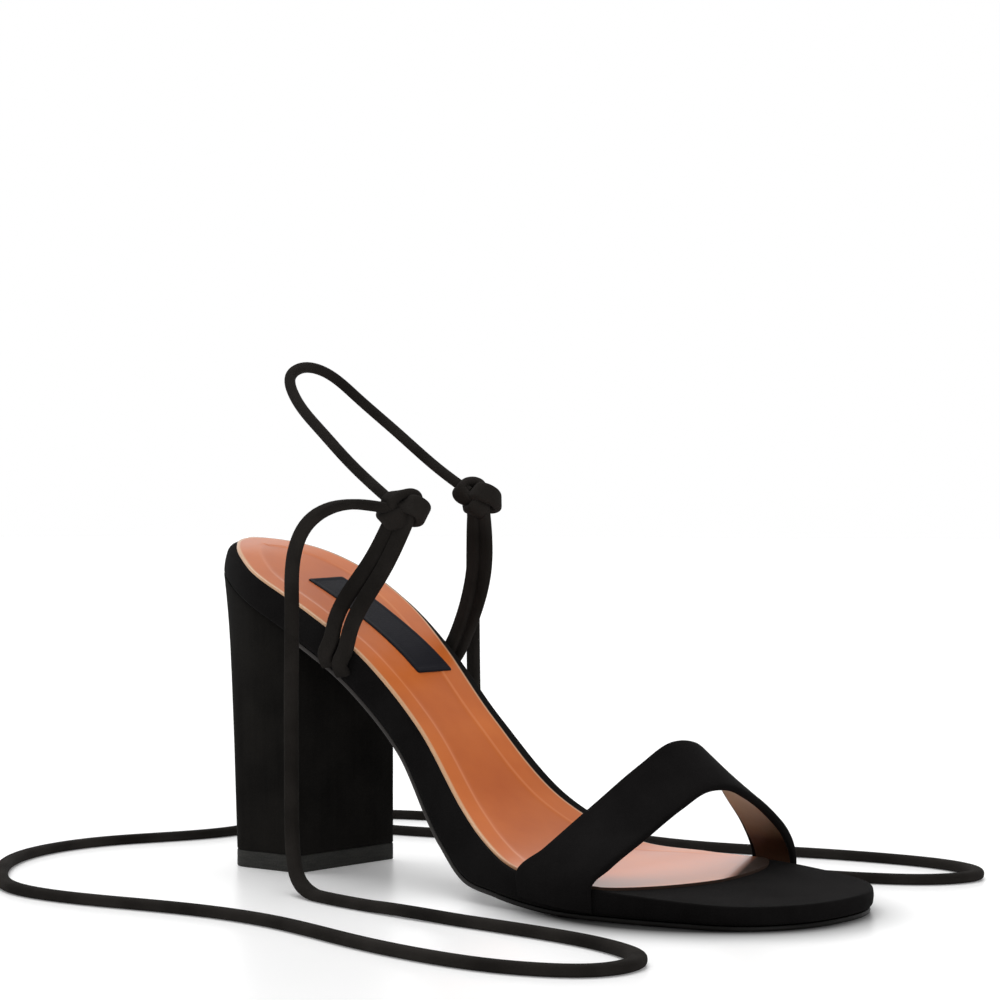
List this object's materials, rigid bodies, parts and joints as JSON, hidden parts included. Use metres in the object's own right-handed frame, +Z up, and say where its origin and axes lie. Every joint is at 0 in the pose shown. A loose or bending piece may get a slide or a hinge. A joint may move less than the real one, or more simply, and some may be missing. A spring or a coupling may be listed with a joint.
{
  "type": "block heel sandal",
  "caption": "Open block heel sandal for the right foot: wrapped footbed, toe strap, knotted ankle straps and long ties that lie loose on the floor.",
  "frame": {"origin": "on the floor, under the middle of the shoe's own box, measured without the loose ties", "axes": "+X from heel to toe, +Y to the inner side of the foot, +Z up from the floor"},
  "size_m": [0.2702, 0.2248, 0.1505],
  "materials": {
    "suede": "napped matte",
    "cord": "napped matte",
    "sock": "satin",
    "label": "satin",
    "sole": "matte",
    "lift": "matte"
  },
  "bodies": {
    "root": {"heel_lift": "lift", "heel_block": "suede", "outsole": "sole", "footbed": "suede", "sock_lining": "sock", "sock_label": "label", "toe_strap": "suede", "ankle_straps": "cord", "tie_outer": "cord", "tie_inner": "cord", "tie_outer_knot": "cord", "tie_inner_knot": "cord"}
  },
  "joints": []
}
